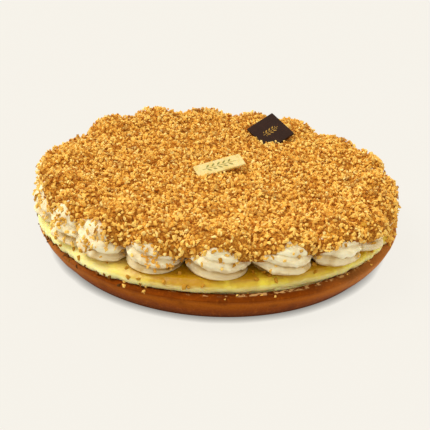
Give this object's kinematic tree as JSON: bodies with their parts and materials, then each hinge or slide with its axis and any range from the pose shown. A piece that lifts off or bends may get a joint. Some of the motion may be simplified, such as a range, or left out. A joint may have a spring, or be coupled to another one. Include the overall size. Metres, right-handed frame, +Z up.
{
  "type": "cream tart",
  "caption": "Whole cream tart with a baked shell, custard, a ring of piped cream rosettes, a coat of chopped caramelised nuts and two chocolate pieces.",
  "frame": {"origin": "centre of the shell's flat underside", "axes": "+Z up through the tart, -Y towards the front, where the chocolate plaque is at the back right"},
  "size_m": [0.2882, 0.288, 0.0688],
  "materials": {
    "baked_crust": "matte baked",
    "custard": "soft gloss",
    "whipped_cream": "soft satin",
    "nut_crumbs": "rough, sugared",
    "dark_chocolate": "satin",
    "white_chocolate": "satin"
  },
  "bodies": {
    "root": {"crust": "baked_crust", "custard": "custard", "cream_bed": "whipped_cream", "cream_rosette_01": "whipped_cream", "cream_rosette_02": "whipped_cream", "cream_rosette_03": "whipped_cream", "cream_rosette_04": "whipped_cream", "cream_rosette_05": "whipped_cream", "cream_rosette_06": "whipped_cream", "cream_rosette_07": "whipped_cream", "cream_rosette_08": "whipped_cream", "cream_rosette_09": "whipped_cream", "cream_rosette_10": "whipped_cream", "cream_rosette_11": "whipped_cream", "cream_rosette_12": "whipped_cream", "cream_rosette_13": "whipped_cream", "cream_rosette_14": "whipped_cream", "cream_rosette_15": "whipped_cream", "cream_rosette_16": "whipped_cream", "cream_rosette_17": "whipped_cream", "cream_rosette_18": "whipped_cream", "cream_rosette_19": "whipped_cream", "crumb_coat": "nut_crumbs", "dark_chocolate_plaque": "dark_chocolate", "white_chocolate_strip": "white_chocolate"}
  },
  "joints": []
}
